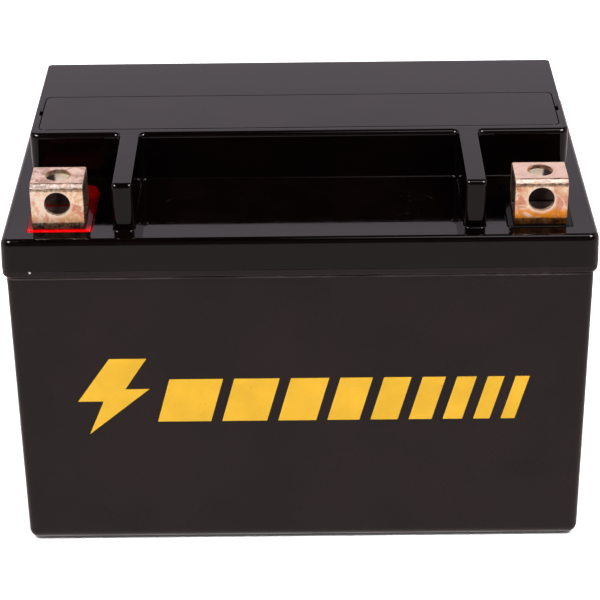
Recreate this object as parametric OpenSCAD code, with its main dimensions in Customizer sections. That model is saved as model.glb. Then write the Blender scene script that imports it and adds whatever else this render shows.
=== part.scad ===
// Sealed 12 V motorcycle battery with folded copper terminals and a flush vent cover.
// Origin: centre of the base. +X runs along the length, +Y to the rear, +Z up. Millimetres.

/* [Case] */
// Overall length, along X
length = 150; // [148:1:154]
// Overall depth, along Y
depth = 87; // [86:1:90]
// Overall height
height = 105; // [104:0.5:108]
// Height of the joint between the case and the lid
seam_z = 83.5; // [82:0.1:84]
// Height of the case's top flange, below the joint
flange_h = 2.8; // [2:0.1:3]
// How far the case wall stands back from the flange
flange_step = 1; // [0.8:0.1:1.2]
// Thickness of the case walls
wall_t = 2.5; // [2:0.1:2.6]
// Thickness of the base
base_t = 3; // [2.5:0.1:3.5]
// Radius of the round vertical corners
corner_r = 3; // [2:0.5:4]
// Radius of the round edge at the base
base_r = 3; // [1.5:0.5:3]

/* [Lid] */
// Height of the low ledge that carries the terminals
ledge_z = 91.9; // [91:0.1:92]
// Thickness of the lid's ledge and roof
lid_t = 2.5; // [2.2:0.1:2.8]
// How far the raised block stands back from the lid's sides
block_side_inset = 4.7; // [4:0.1:5]
// How far the raised block stands back from the lid's rear
block_rear_inset = 4.1; // [4:0.1:5]
// Distance from the middle of the lid to the block's front wall
block_front = 8.3; // [8:0.1:9]
// Radius of the block's round vertical corners
block_r = 3.4; // [2:0.1:4]
// Distance from the middle of the lid to the middle of each rib
rib_x = 44; // [43:0.1:46]
// Thickness of each rib
rib_t = 5.2; // [4:0.1:6]
// Distance from the middle of the lid to the ribs' front faces
rib_front = 38.3; // [36:0.1:39]
// Radius of the ribs' front corners
rib_r = 1.4; // [1:0.1:2]

/* [Vent cover] */
// Length of the vent cover strip
cover_l = 136.1; // [136:0.1:137.6]
// Width of the vent cover strip
cover_w = 21; // [20.6:0.1:22]
// Thickness of the vent cover strip
cover_t = 2; // [1.5:0.1:2.2]
// Distance from the middle of the lid back to the cover's middle line
cover_y = 5.2; // [5:0.1:5.4]
// Radius of the cover's corners
cover_r = 1.6; // [1:0.1:3]
// Gap between the cover and its recess, on each side
cover_gap = 0.2; // [0.1:0.05:0.3]
// Length of the pry notch past each end of the cover
notch_l = 1; // [0.8:0.1:1.6]
// Width of the pry notches
notch_w = 2.8; // [2:0.1:5]

/* [Vent valves] */
// Outer diameter of the filling necks
neck_d = 9; // [8:0.1:9.5]
// Bore of the filling necks
neck_bore = 6; // [4:0.1:6.5]
// Height of the necks' rims
neck_z = 99.6; // [99:0.1:99.6]
// Outer diameter of the rubber valve caps
cap_d = 11.4; // [11:0.1:11.4]
// Radial gap between a cap's skirt and its neck
cap_gap = 0.08; // [0.05:0.01:0.1]
// Thickness of a cap's top
cap_t = 1.5; // [1:0.1:1.5]
// Depth of a cap's skirt, below the neck's rim
cap_skirt = 4; // [3:0.1:5]

/* [Terminals] */
// Distance from the middle of the lid to each terminal's middle
terminal_x = 60.3; // [60:0.1:61.5]
// Width of the terminal strip
terminal_w = 13.2; // [12:0.1:14]
// Depth of the folded terminal, front to rear
terminal_d = 11.7; // [11:0.1:12]
// Distance from the middle of the lid to the terminals' front faces
terminal_front = 37.6; // [37:0.1:38]
// Height of the terminals' top faces
terminal_z = 104.7; // [104.2:0.1:104.8]
// Thickness of the copper strip
strip_t = 1.5; // [1.2:0.1:1.6]
// Outer radius of the folds
fold_r = 1.6; // [1.6:0.1:2.2]
// Diameter of the screw holes, for an M6 screw
hole_d = 6.4; // [6.2:0.1:6.6]
// Height of the front screw hole
front_hole_z = 99.4; // [98.8:0.1:99.6]
// Distance from the middle of the lid to the top screw hole
top_hole_y = 31.5; // [31.2:0.1:32]
// Gap between the folded foot and the rear leg
foot_gap = 0.8; // [0.5:0.1:1]

/* [Terminal seals] */
// Width of the resin seal round a terminal's foot
seal_w = 16.3; // [15:0.1:16.6]
// Distance from the middle of the lid to the seals' front edges
seal_front = 38.3; // [38:0.1:39]
// Distance from the middle of the lid to the seals' rear edges
seal_rear = 12.8; // [11.5:0.1:13.5]
// Height of the seal above the ledge
seal_h = 0.8; // [0.6:0.1:1]
// Depth of the seal's well in the ledge
well_d = 1.3; // [1:0.1:1.3]

/* [Cells] */
// Thickness of the partitions between the cells
partition_t = 1.6; // [1.4:0.1:1.8]
// Thickness of a positive plate
positive_t = 2; // [1.8:0.1:2]
// Thickness of a negative plate
negative_t = 1.4; // [1.2:0.1:1.4]
// Thickness of a glass mat separator
mat_t = 0.85; // [0.7:0.05:0.85]
// Positive plates in each cell
positive_count = 4; // [3:1:4]
// Depth of the plates, front to rear
plate_d = 76; // [70:1:76]
// Height of the plates' top edges
plate_z = 72; // [68:1:72]

/* [Hidden] */
$fn = 64;
eps = 0.01;
cells = 6;
sides = ["positive", "negative"];

// Case
case_l = length - 2 * flange_step;
case_d = depth - 2 * flange_step;
inner_l = case_l - 2 * wall_t;
inner_d = case_d - 2 * wall_t;
cell_w = (inner_l - (cells - 1) * partition_t) / cells;
cell_pitch = cell_w + partition_t;

// Lid
block_l = length - 2 * block_side_inset;
block_rear = depth / 2 - block_rear_inset;
block_d = block_front + block_rear;
block_y = (block_rear - block_front) / 2;
roof_z = height - lid_t;
ledge_under = ledge_z - lid_t;
cover_seat = height - cover_t;
trough_margin = 2;
trough_l = cover_l - 2 * trough_margin;
trough_w = cover_w - 2 * trough_margin;
trough_z = 94.5;
trough_floor_t = 2;
notch_d = 1.6;

// Cover ribs, over the caps, where they stop a cap that rises
cover_rib_l = 120;
cover_rib_t = 1.2;
cover_rib_h = 1;
cover_rib_y = 3;

// Terminals and seals
terminal_foot_z = ledge_z + seal_h;
seal_r = 3;
seal_z = ledge_z - well_d;
post_d = 8;
post_y = -terminal_front + 5.7;

// Plate groups, stacked along X
negative_count = positive_count + 1;
stack_w = positive_count * positive_t + negative_count * negative_t + 2 * positive_count * mat_t;
mat_overhang = 1.2;
plate_foot = base_t + mat_overhang;
lug_w = 10;
lug_t = 1.2;
lug_y = 31;
strap_z = 76;
strap_t = 3.5;
strap_d = 11;
strap_l = cell_w - 1.2;
upright_t = 2;
upright_h = 7;
weld_d = 5;
weld_z = strap_z + 3.5;

function cell_x(n) = (n - (cells + 1) / 2) * cell_pitch;
// The groups alternate, so that each cell's positive strap faces its neighbour's negative one
function lug_side(n, sign) = (n % 2 == 1 ? -1 : 1) * sign;
function terminal_side(kind) = kind == "positive" ? -1 : 1;
function numbered(name) = [for (n = [1:cells]) str(name, "_", n)];

// A rectangle with round corners, centred
module rounded_rect(x, y, r) {
    square([x - 2 * r, y], center = true);
    square([x, y - 2 * r], center = true);
    for (i = [-1, 1], j = [-1, 1])
        translate([i * (x / 2 - r), j * (y / 2 - r)]) circle(r);
}

// An upright slab with round corners between two heights
module slab(x, y, r, z0, z1) {
    translate([0, 0, z0]) linear_extrude(z1 - z0) rounded_rect(x, y, r);
}

// A bar that is rounded along its two lower edges, running along X
module rounded_keel(l, w, h, r) {
    rotate([90, 0, 90]) linear_extrude(l, center = true) {
        translate([0, r + (h - r) / 2]) square([w, h - r], center = true);
        translate([0, h / 2]) square([w - 2 * r, h], center = true);
        for (i = [-1, 1]) translate([i * (w / 2 - r), r]) circle(r);
    }
}

module box_between(low, high) {
    translate(low) cube(high - low);
}

module container() {
    color("#2a2220") difference() {
        union() {
            intersection() {
                slab(case_l, case_d, corner_r, 0, seam_z);
                rounded_keel(length, case_d, seam_z, base_r);
                rotate(90) rounded_keel(depth, case_l, seam_z, base_r);
            }
            slab(length, depth, corner_r, seam_z - flange_h, seam_z);
        }
        for (n = [1:cells])
            translate([cell_x(n), 0, base_t])
                translate([-cell_w / 2, -inner_d / 2, 0])
                    cube([cell_w, inner_d, seam_z]);
        for (n = [1:cells - 1]) weld_hole(n);
    }
}

// The hole that an inter-cell weld fills, through one partition
module weld_hole(n) {
    translate([cell_x(n) + cell_pitch / 2, weld_y(n), weld_z])
        rotate([0, 90, 0]) cylinder(d = weld_d, h = partition_t, center = true);
}

function weld_y(n) = lug_side(n, -1) * lug_y;

module lid() {
    color("#241f22") difference() {
        union() {
            slab(length, depth, corner_r, seam_z, ledge_z);
            translate([0, block_y, 0]) slab(block_l, block_d, block_r, seam_z, height);
            for (i = [-1, 1]) translate([i * rib_x, 0, 0]) rib();
        }
        for (n = [1:cells]) cell_chamber(n);
        translate([0, cover_y, 0]) cover_recess();
        for (n = [1:cells])
            translate([cell_x(n), cover_y, 0])
                cylinder(d = neck_bore, h = height);
        for (kind = sides) {
            seal_well(kind);
            post_shape(kind, ledge_under - eps, ledge_z + eps);
        }
    }
}

// A rib between the middle recess and a terminal's pocket
module rib() {
    rib_d = rib_front - block_front + 2 * rib_r;
    translate([0, -rib_front + rib_d / 2, 0]) slab(rib_t, rib_d, rib_r, seam_z, height);
}

// The space over one cell: under the ledge, under the valve trough and behind it
module cell_chamber(n) {
    x0 = max(cell_x(n) - cell_w / 2, -block_l / 2 + lid_t);
    x1 = min(cell_x(n) + cell_w / 2, block_l / 2 - lid_t);
    under_trough = trough_z - trough_floor_t;
    trough_rear = cover_y + trough_w / 2 + trough_margin;
    box_between([cell_x(n) - cell_w / 2, -inner_d / 2, seam_z - eps],
                [cell_x(n) + cell_w / 2, inner_d / 2, ledge_under]);
    box_between([x0, -block_front + lid_t, ledge_under - eps],
                [x1, block_rear - lid_t, under_trough]);
    box_between([x0, trough_rear, under_trough - eps],
                [x1, block_rear - lid_t, roof_z]);
}

// The seat of the vent cover, the trough for the valve caps below it and the two pry notches
module cover_recess() {
    slab(cover_l + 2 * cover_gap, cover_w + 2 * cover_gap, cover_r + cover_gap,
         cover_seat, height + 1);
    difference() {
        slab(trough_l, trough_w, cover_r, trough_z, cover_seat + eps);
        for (n = [1:cells])
            translate([cell_x(n), 0, 0]) cylinder(d = neck_d, h = neck_z);
    }
    for (i = [-1, 1])
        translate([i * cover_l / 2, 0, height])
            cube([2 * notch_l, notch_w, 2 * notch_d], center = true);
}

module vent_cover_strip() {
    color("#302b2f") {
        translate([0, cover_y, 0]) {
            slab(cover_l, cover_w, cover_r, cover_seat, height);
            for (i = [-1, 1])
                translate([0, i * cover_rib_y, cover_seat - cover_rib_h / 2])
                    cube([cover_rib_l, cover_rib_t, cover_rib_h + eps], center = true);
        }
    }
}

module valve_cap(n) {
    color("#151515") translate([cell_x(n), cover_y, 0]) difference() {
        translate([0, 0, neck_z - cap_skirt]) cylinder(d = cap_d, h = cap_skirt + cap_t);
        translate([0, 0, neck_z - cap_skirt - 1])
            cylinder(d = neck_d + 2 * cap_gap, h = cap_skirt + 1);
    }
}

// Side view of the folded strip: front leg, top, rear leg and a foot turned in under them
module folded_strip() {
    h = terminal_z - terminal_foot_z;
    difference() {
        rounded_rect(terminal_d, h, fold_r);
        rounded_rect(terminal_d - 2 * strip_t, h - 2 * strip_t, fold_r - strip_t);
        translate([terminal_d / 2 - strip_t - foot_gap, -h]) square([foot_gap, h]);
    }
}

module terminal(kind) {
    mid_y = terminal_d / 2 - terminal_front;
    mid_z = (terminal_z + terminal_foot_z) / 2;
    color("#c98f6e") translate([terminal_side(kind) * terminal_x, 0, 0]) difference() {
        translate([0, mid_y, mid_z])
            rotate([90, 0, 90]) linear_extrude(terminal_w, center = true) folded_strip();
        translate([0, -top_hole_y, terminal_z - 2 * strip_t])
            cylinder(d = hole_d, h = 3 * strip_t);
        translate([0, -terminal_front + 2 * strip_t, front_hole_z])
            rotate([90, 0, 0]) cylinder(d = hole_d, h = 3 * strip_t);
    }
}

module seal_shape(kind, z0, z1) {
    translate([terminal_side(kind) * terminal_x, -(seal_front + seal_rear) / 2, 0])
        slab(seal_w, seal_front - seal_rear, seal_r, z0, z1);
}

module seal_well(kind) {
    seal_shape(kind, seal_z, ledge_z + eps);
}

module terminal_seal(kind) {
    color(kind == "positive" ? "#e01010" : "#141216") difference() {
        seal_shape(kind, seal_z, terminal_foot_z);
        post_shape(kind, seal_z - eps, terminal_foot_z + eps);
    }
}

module post_shape(kind, z0, z1) {
    translate([terminal_side(kind) * terminal_x, post_y, z0]) cylinder(d = post_d, h = z1 - z0);
}

// The lead post from an end cell's strap up to the terminal's foot
module post(kind) {
    color("#6f7276") post_shape(kind, strap_z + strap_t, terminal_foot_z);
}

module intercell_weld(n) {
    color("#6f7276") weld_hole(n);
}

// Middle of layer i of a plate group, counted from its left face: mats lie between the plates
function layer_x(i, t) = -stack_w / 2 + i * (positive_t + negative_t + 2 * mat_t) + t;

// One plate with its lug, standing in the YZ plane
module plate(t, side) {
    translate([-t / 2, -plate_d / 2, plate_foot]) cube([t, plate_d, plate_z - plate_foot]);
    translate([-min(t, lug_t) / 2, side * lug_y - lug_w / 2, plate_z - eps])
        cube([min(t, lug_t), lug_w, strap_z - plate_z + eps]);
}

module positive_plates(n) {
    color("#5a3a2c") translate([cell_x(n), 0, 0])
        for (i = [0:positive_count - 1])
            translate([layer_x(i, negative_t + mat_t + positive_t / 2), 0, 0])
                plate(positive_t, lug_side(n, 1));
}

module negative_plates(n) {
    color("#8a8d90") translate([cell_x(n), 0, 0])
        for (i = [0:negative_count - 1])
            translate([layer_x(i, negative_t / 2), 0, 0])
                plate(negative_t, lug_side(n, -1));
}

module separators(n) {
    mat_h = plate_z - plate_foot + 2 * mat_overhang;
    color("#e9e8e2") translate([cell_x(n), 0, 0])
        for (i = [0:positive_count - 1], after = [0, 1])
            translate([layer_x(i, negative_t + after * (mat_t + positive_t)),
                       -plate_d / 2 - mat_overhang, plate_foot - mat_overhang])
                cube([mat_t, plate_d + 2 * mat_overhang, mat_h]);
}

// A cast strap on one cell's lugs, with an upright that meets the partition it is welded through.
// sign is 1 for the positive strap and -1 for the negative one
module strap(n, sign) {
    toward = -sign;
    end_cell = sign > 0 ? n == 1 : n == cells;
    color("#6f7276") translate([cell_x(n), lug_side(n, sign) * lug_y, strap_z]) {
        translate([-strap_l / 2, -strap_d / 2, 0]) cube([strap_l, strap_d, strap_t]);
        if (!end_cell)
            translate([toward * (cell_w - upright_t) / 2, 0, upright_h / 2])
                cube([upright_t, strap_d, upright_h], center = true);
    }
}

container();
lid();
vent_cover_strip();
for (kind = sides) {
    terminal(kind);
    terminal_seal(kind);
    post(kind);
}
for (n = [1:cells - 1])
    intercell_weld(n);
for (n = [1:cells]) {
    valve_cap(n);
    positive_plates(n);
    negative_plates(n);
    separators(n);
    strap(n, 1);
    strap(n, -1);
}
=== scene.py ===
"""Looks of the motorcycle battery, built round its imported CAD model.

Sizes are in millimetres in the CAD frame: X along the length, Y to the rear, Z up, with the origin at the
centre of the base.
"""

import math
import random

import bmesh
import bpy
from mathutils import Euler, Matrix, Vector
from mathutils.geometry import tessellate_polygon


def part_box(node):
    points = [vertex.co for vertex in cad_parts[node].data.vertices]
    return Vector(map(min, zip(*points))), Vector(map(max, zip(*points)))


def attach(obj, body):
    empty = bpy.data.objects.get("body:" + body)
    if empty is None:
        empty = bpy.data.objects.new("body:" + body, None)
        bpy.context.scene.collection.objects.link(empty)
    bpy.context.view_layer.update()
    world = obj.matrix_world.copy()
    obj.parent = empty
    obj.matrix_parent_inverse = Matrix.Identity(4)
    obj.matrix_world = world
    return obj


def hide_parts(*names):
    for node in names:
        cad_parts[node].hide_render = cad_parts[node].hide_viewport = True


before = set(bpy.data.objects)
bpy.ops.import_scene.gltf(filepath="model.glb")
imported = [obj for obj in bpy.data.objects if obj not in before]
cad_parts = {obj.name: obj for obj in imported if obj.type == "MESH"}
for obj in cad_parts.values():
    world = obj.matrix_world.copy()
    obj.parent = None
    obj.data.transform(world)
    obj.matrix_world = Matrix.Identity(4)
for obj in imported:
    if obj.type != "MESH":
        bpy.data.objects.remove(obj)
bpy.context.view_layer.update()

MM = 0.001
CELLS = range(1, 7)


def cad_box(node):
    """Lowest and highest corner of a CAD node, in millimetres."""
    low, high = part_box(node)
    return low / MM, high / MM


# ---------------------------------------------------------------- sizes

CASE_LOW = cad_box("container")[0]
LID_LOW, LID_HIGH = cad_box("lid")
COVER_LOW, COVER_HIGH = cad_box("vent_cover_strip")
SEAL_LOW, SEAL_HIGH = cad_box("negative_terminal_seal")
TERMINAL_LOW, TERMINAL_HIGH = cad_box("negative_terminal")
POST_LOW, POST_HIGH = cad_box("negative_post")

HALF_L, HALF_D, HEIGHT = LID_HIGH.x, LID_HIGH.y, LID_HIGH.z
SEAM_Z = LID_LOW.z
LEDGE_Z = 91.9
LID_T = 2.5
FLANGE_H = 2.15
FLANGE_STEP = 1.0
MOULD_NIB = (-67.7, -43.4, 83.3)
MOULD_NIB_R = (0.3, 0.5)
WALL_T = 2.5
BASE_T = 3.0
CORNER_R = 3.0
KEEL_R = 3.3
PARTITION_T = 1.6

BLOCK_X = 70.3
BLOCK_REAR = 39.4
BLOCK_FRONT = -8.3
RIB_X = 44.0
RIB_HALF = 2.6
RIB_FRONT = -38.3
TOP_ROUND = (0.5, 1.3, 1.3)
LEDGE_ROUND = (1.4, 1.5, 1.7)
SKIRT_DRAFT = (0.26, 0.04)
EJECTOR_MARKS = ((-30.0, -24.0), (30.0, -24.0))
EJECTOR_R = 5.0
CURL_START, CURL_RISE, CURL_STRIPS = -25.0, 0.26, 10

COVER_X = COVER_HIGH.x
COVER_GAP_X, COVER_GAP_FRONT, COVER_GAP_REAR = 0.2, 0.15, 0.09
COVER_R = 1.6
COVER_SEAT = HEIGHT - 2.0
TROUGH_MARGIN = 2.0
TROUGH_Z = 94.5
NOTCH_L = 0.7
NOTCH_HALF = 1.25

NECK_R, NECK_BORE_R, NECK_Z = 4.5, 3.0, 99.6
CELL_W = (2 * (HALF_L - FLANGE_STEP - WALL_T) - 5 * PARTITION_T) / 6
CELL_PITCH = CELL_W + PARTITION_T
POCKET_Y = HALF_D - FLANGE_STEP - WALL_T

TERMINAL_X = (TERMINAL_LOW.x + TERMINAL_HIGH.x) / 2
TERMINAL_HALF = (TERMINAL_HIGH.x - TERMINAL_LOW.x) / 2
STRIP_T = 1.5
FOLD_R = 1.6
FOOT_R, FOOT_SINK = 0.5, 0.5
HOLE_R = 3.2
FRONT_HOLE_Z = 99.4
TOP_HOLE_Y = -31.5
ORANGE_Z, NEGATIVE_ORANGE_Z = (94.8, 97.5), (95.7, 97.7)
RUBBED_X = (-64.0, -62.2)
# Heights where the painted shade at the foot of the terminal's front leg fades out.
FOOT_SHADE_Z = (94.15, 94.55)
LIT_INSIDE_Z = (99.9, 100.8)
POST_R = 4.0
POST_Y = (POST_LOW.y + POST_HIGH.y) / 2

# Colours of the surroundings from straight down, 0, through the horizon, 0.5, to straight up, 1.
SKY_BANDS = (
    (0.00, (1.0, 0.89, 0.87)),
    (0.49, (1.0, 0.89, 0.87)),
    (0.52, (0.92, 0.82, 0.90)),
    (0.80, (0.92, 0.82, 0.90)),
    (0.85, (0.16, 0.15, 0.15)),
    (0.90, (0.04, 0.04, 0.04)),
)
LAMPS = ((-0.52, -0.42, 1.05), (0.52, -0.42, 1.05))


def cell_x(n):
    """Middle of cell n along X."""
    return (n - 3.5) * CELL_PITCH


# ---------------------------------------------------------------- outlines and shells


def outline(corners, grow=0.0, steps=8):
    """Points of a closed outline through right-angled corners (x, y, radius), counter-clockwise.

    The outline is grown outward by grow: one distance, or a pair, where the walls that face along X move by
    the first and those that face along Y by the second.
    """
    grow_x, grow_y = grow if isinstance(grow, tuple) else (grow, grow)
    points = []
    for i, (x, y, r) in enumerate(corners):
        before, after = corners[i - 1], corners[(i + 1) % len(corners)]
        come = Vector((x - before[0], y - before[1])).normalized()
        leave = Vector((after[0] - x, after[1] - y)).normalized()
        n_in, n_out = Vector((come.y, -come.x)), Vector((leave.y, -leave.x))
        turn = 1 if come.cross(leave) > 0 else -1
        grow_in, grow_out = (grow_x, grow_y) if abs(n_in.x) > 0.5 else (grow_y, grow_x)
        arm_in = max(r + turn * grow_in, 0.03) * n_in
        arm_out = max(r + turn * grow_out, 0.03) * n_out
        centre = Vector((x, y)) + grow_in * n_in + grow_out * n_out - turn * (arm_in + arm_out)
        for k in range(steps + 1):
            a = k / steps * math.pi / 2
            points.append(centre + turn * (arm_in * math.cos(a) + arm_out * math.sin(a)))
    return points


def rectangle(x0, x1, y0, y1, r):
    """Corners of a rectangle for outline(), all with radius r."""
    return [(x0, y0, r), (x1, y0, r), (x1, y1, r), (x0, y1, r)]


def circle(x, y, r, steps=40):
    """Points of a circle, counter-clockwise."""
    angles = [2 * math.pi * k / steps for k in range(steps)]
    return [Vector((x + r * math.cos(a), y + r * math.sin(a))) for a in angles]


def round_over(across_x, across_y, drop, z, steps=7):
    """(grow, height) pairs of an oval round-over up to a level face at z.

    across_x and across_y are its widths on the walls that face along X and along Y.
    """
    pairs = []
    for k in range(steps + 1):
        a = k / steps * math.pi / 2
        inward = 1 - math.cos(a)
        pairs.append(((-across_x * inward, -across_y * inward), z - drop * (1 - math.sin(a))))
    return pairs


def arc_profile(r, z, top=True, steps=6):
    """(grow, height) pairs of a round-over from a wall at grow 0 to a level face at height z.

    With top False, the hollow fillet from a level face at z up to a wall.
    """
    pairs = []
    for k in range(steps + 1):
        a = k / steps * math.pi / 2
        if top:
            pairs.append((-r * (1 - math.cos(a)), z - r * (1 - math.sin(a))))
        else:
            pairs.append((r * (1 - math.sin(a)), z + r * (1 - math.cos(a))))
    return pairs


class Shell:
    """A mesh made of level rings, walls between them and flat faces with holes."""

    def __init__(self):
        self.bm = bmesh.new()

    def ring(self, points, z):
        """Vertices at points; z is one height, or a function of the point."""
        height = z if callable(z) else lambda p: z
        return [self.bm.verts.new(Vector((p[0], p[1], height(p))) * MM) for p in points]

    def wall(self, a, b):
        """Faces between two rings of the same length."""
        for i in range(len(a)):
            j = (i + 1) % len(a)
            self.bm.faces.new((a[i], a[j], b[j], b[i]))

    def rise(self, corners, profile, start=None, steps=8):
        """Walls up a profile of (grow, z) pairs round an outline. Returns the first and last ring."""
        rings = [start] if start else []
        rings += [self.ring(outline(corners, g, steps), z) for g, z in profile]
        for a, b in zip(rings, rings[1:]):
            self.wall(a, b)
        return rings[0], rings[-1]

    def tube(self, x, y, profile, start=None, steps=40):
        """Walls along (radius, z) pairs round an upright axis. Returns the first and last ring."""
        rings = [start] if start else []
        rings += [self.ring(circle(x, y, r, steps), z) for r, z in profile]
        for a, b in zip(rings, rings[1:]):
            self.wall(a, b)
        return rings[0], rings[-1]

    def flat(self, outer, *holes):
        """A flat face inside outer, with holes."""
        loops = [outer, *holes]
        verts = [v for loop in loops for v in loop]
        for triangle in tessellate_polygon([[v.co for v in loop] for loop in loops]):
            self.bm.faces.new([verts[i] for i in triangle])

    def close(self):
        """Joins doubled vertices and turns all faces outward."""
        bmesh.ops.remove_doubles(self.bm, verts=self.bm.verts, dist=1e-7)
        bmesh.ops.recalc_face_normals(self.bm, faces=self.bm.faces)

    def to_object(self, name, sharp_deg=38):
        """The finished object, smooth apart from edges sharper than sharp_deg."""
        self.close()
        for edge in self.bm.edges:
            edge.smooth = not (edge.is_manifold and edge.calc_face_angle(0) > math.radians(sharp_deg))
        for face in self.bm.faces:
            face.smooth = True
        mesh = bpy.data.meshes.new(name)
        self.bm.to_mesh(mesh)
        self.bm.free()
        piece = bpy.data.objects.new(name, mesh)
        bpy.context.scene.collection.objects.link(piece)
        weigh = piece.modifiers.new("normals", "WEIGHTED_NORMAL")
        weigh.keep_sharp = True
        weigh.weight = 90
        return piece


def place(piece, body, material, slot, *nodes):
    """Gives a piece its material, its body and the CAD nodes it stands for; slot is not used."""
    piece.data.materials.append(material)
    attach(piece, body)
    if nodes:
        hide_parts(*nodes)
    return piece


# ---------------------------------------------------------------- materials


class Paint:
    """A Principled material with short helpers for its procedural nodes."""

    def __init__(self, name, **sockets):
        self.material = bpy.data.materials.new(name)
        self.material.use_nodes = True
        self.tree = self.material.node_tree
        self.shader = self.tree.nodes["Principled BSDF"]
        for key, value in sockets.items():
            self.shader.inputs[key.replace("_", " ")].default_value = value
        self.place = self.tree.nodes.new("ShaderNodeTexCoord").outputs["Object"]

    def link(self, a, b):
        """Joins an output to an input."""
        self.tree.links.new(a, b)

    def axes(self):
        """The place's X, Y and Z, in metres."""
        split = self.tree.nodes.new("ShaderNodeSeparateXYZ")
        self.link(self.place, split.inputs["Vector"])
        return split.outputs["X"], split.outputs["Y"], split.outputs["Z"]

    def distance_to(self, point, vector=None):
        """Distance in metres from a point given in metres."""
        node = self.tree.nodes.new("ShaderNodeVectorMath")
        node.operation = "DISTANCE"
        node.inputs[1].default_value = point
        self.link(vector or self.place, node.inputs[0])
        return node.outputs["Value"]

    def ragged(self, scale, size, detail=5, rough=0.7):
        """An uneven offset, half of size in metres to either side of zero, that roughens a boundary."""
        return self.math("MULTIPLY", self.math("SUBTRACT", self.noise(scale, detail, rough), 0.5), size)

    def product(self, *factors):
        """All the factors multiplied together."""
        total = factors[0]
        for factor in factors[1:]:
            total = self.math("MULTIPLY", total, factor)
        return total

    def stretched(self, scale):
        """The place scaled by its own amount along each axis."""
        node = self.tree.nodes.new("ShaderNodeMapping")
        node.inputs["Scale"].default_value = scale
        self.link(self.place, node.inputs["Vector"])
        return node.outputs["Vector"]

    def noise(self, scale, detail=4.0, rough=0.55, vector=None, distortion=0.0):
        """Cloudy noise around 0.5."""
        node = self.tree.nodes.new("ShaderNodeTexNoise")
        node.inputs["Scale"].default_value = scale
        node.inputs["Detail"].default_value = detail
        node.inputs["Roughness"].default_value = rough
        node.inputs["Distortion"].default_value = distortion
        self.link(vector or self.place, node.inputs["Vector"])
        return node.outputs["Fac"]

    def cells(self, scale):
        """Distance from the nearest of scattered points."""
        node = self.tree.nodes.new("ShaderNodeTexVoronoi")
        node.inputs["Scale"].default_value = scale
        self.link(self.place, node.inputs["Vector"])
        return node.outputs["Distance"]

    def ramp(self, value, low, high, to_low=0.0, to_high=1.0):
        """A smooth step from to_low at low to to_high at high."""
        node = self.tree.nodes.new("ShaderNodeMapRange")
        node.interpolation_type = "SMOOTHSTEP"
        for key, number in zip(("From Min", "From Max", "To Min", "To Max"), (low, high, to_low, to_high)):
            node.inputs[key].default_value = number
        self.link(value, node.inputs["Value"])
        return node.outputs["Result"]

    def from_mm(self, value, span, to_low=0.0, to_high=1.0):
        """As ramp(), for a length in metres and a span of (low, high) in millimetres."""
        return self.ramp(value, span[0] * MM, span[1] * MM, to_low, to_high)

    def below_mm(self, value, span):
        """1 under the span, 0 over it, for a length in metres and a span in millimetres."""
        return self.from_mm(value, span, 1.0, 0.0)

    def band_mm(self, value, low, high, soft):
        """1 between two places in millimetres, with soft ends, for a length in metres."""
        return self.product(self.from_mm(value, (low - soft, low + soft)),
                            self.below_mm(value, (high - soft, high + soft)))

    def math(self, operation, a, b):
        """A sum, product or the like of two sockets or numbers."""
        node = self.tree.nodes.new("ShaderNodeMath")
        node.operation = operation
        for socket, value in zip(node.inputs, (a, b)):
            if isinstance(value, (int, float)):
                socket.default_value = value
            else:
                self.link(value, socket)
        return node.outputs["Value"]

    def mix(self, factor, a, b):
        """Blend of two colours, or of a socket and a colour, by factor."""
        node = self.tree.nodes.new("ShaderNodeMix")
        node.data_type = "RGBA"
        self.link(factor, node.inputs["Factor"])
        for key, value in ((6, a), (7, b)):
            if isinstance(value, tuple):
                node.inputs[key].default_value = (*value, 1.0)
            else:
                self.link(value, node.inputs[key])
        return node.outputs[2]

    def edges(self, low=0.52, high=0.6):
        """1 on worn convex edges."""
        node = self.tree.nodes.new("ShaderNodeNewGeometry")
        return self.ramp(node.outputs["Pointiness"], low, high)

    def colour(self, socket):
        """Sets the base colour."""
        self.link(socket, self.shader.inputs["Base Color"])

    def roughness(self, socket):
        """Sets the roughness."""
        self.link(socket, self.shader.inputs["Roughness"])

    def bump(self, *layers):
        """Each layer is (height socket, strength, distance in millimetres)."""
        normal = None
        for height, strength, distance in layers:
            node = self.tree.nodes.new("ShaderNodeBump")
            node.inputs["Strength"].default_value = strength
            node.inputs["Distance"].default_value = distance * MM
            self.link(height, node.inputs["Height"])
            if normal:
                self.link(normal, node.inputs["Normal"])
            normal = node.outputs["Normal"]
        self.link(normal, self.shader.inputs["Normal"])


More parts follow.
